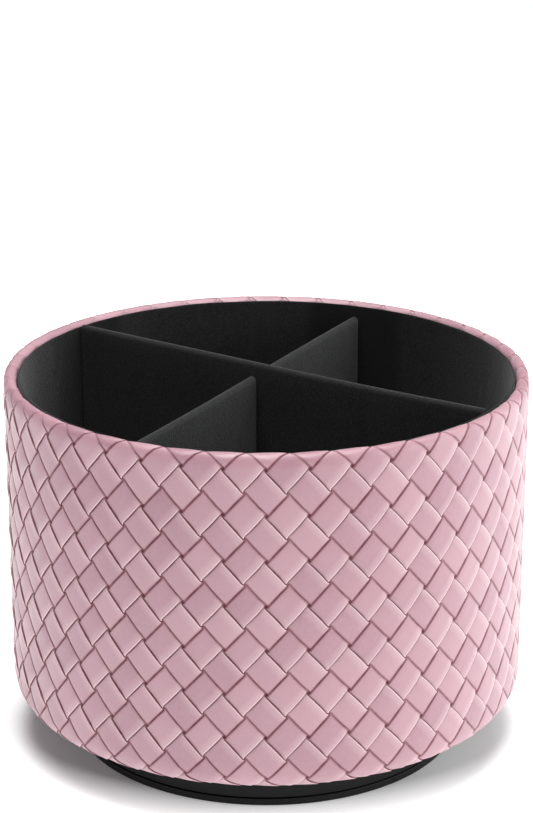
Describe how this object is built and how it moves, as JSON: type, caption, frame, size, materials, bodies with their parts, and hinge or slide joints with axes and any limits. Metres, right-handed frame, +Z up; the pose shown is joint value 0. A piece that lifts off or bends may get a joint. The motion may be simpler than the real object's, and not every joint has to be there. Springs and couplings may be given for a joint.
{
  "type": "lazy susan organizer",
  "caption": "Round desk organizer that turns on a low ball-bearing base: plaited leather outside, padded rim, velvet inside, with crossed panels that make open compartments.",
  "frame": {"origin": "on the table under the tub, on the vertical axis that the tub turns about", "axes": "+Z up along the turning axis, +X to the right and +Y away from a viewer at the front"},
  "size_m": [0.17, 0.17, 0.1254],
  "materials": {
    "leather": "satin embossed leather, dusty pink",
    "velvet": "black short-pile velvet",
    "board": "bare pressed board",
    "foam": "soft padding cord",
    "black_plastic": "satin moulded plastic",
    "cage_plastic": "natural moulded plastic",
    "steel": "bright zinc-plated steel",
    "rubber": "matt rubber"
  },
  "bodies": {
    "base": {"base_plate": "black_plastic", "foot_pad_1": "rubber", "foot_pad_2": "rubber", "foot_pad_3": "rubber", "foot_pad_4": "rubber", "pivot_bolt": "steel", "pivot_washer": "steel", "lock_nut": "steel"},
    "ball_ring": {"ball_cage": "cage_plastic", "ball_01": "steel", "ball_02": "steel", "ball_03": "steel", "ball_04": "steel", "ball_05": "steel", "ball_06": "steel", "ball_07": "steel", "ball_08": "steel", "ball_09": "steel", "ball_10": "steel", "ball_11": "steel", "ball_12": "steel"},
    "tub": {"turntable_housing": "black_plastic", "housing_screw_1": "steel", "housing_screw_2": "steel", "housing_screw_3": "steel", "housing_screw_4": "steel", "underside_cover": "velvet", "bottom_board": "board", "shell_tube": "board", "rim_cord": "foam", "leather_wrap": "leather", "liner_wall": "velvet", "floor_pad": "velvet", "main_divider_board": "board", "cross_divider_board": "board", "main_divider_cover": "velvet", "cross_divider_cover": "velvet"}
  },
  "joints": [
    {"name": "turntable_spin", "type": "hinge", "parent": "base", "child": "tub", "pos_m": [0, 0, 0.0072], "axis": [0, 0, 1], "continuous": true},
    {"name": "ball_ring_spin", "type": "hinge", "parent": "base", "child": "ball_ring", "pos_m": [0, 0, 0.0072], "axis": [0, 0, 1], "continuous": true}
  ],
  "couplings": [
    {"joint": "ball_ring_spin", "follows": "turntable_spin", "ratio": 0.5}
  ]
}
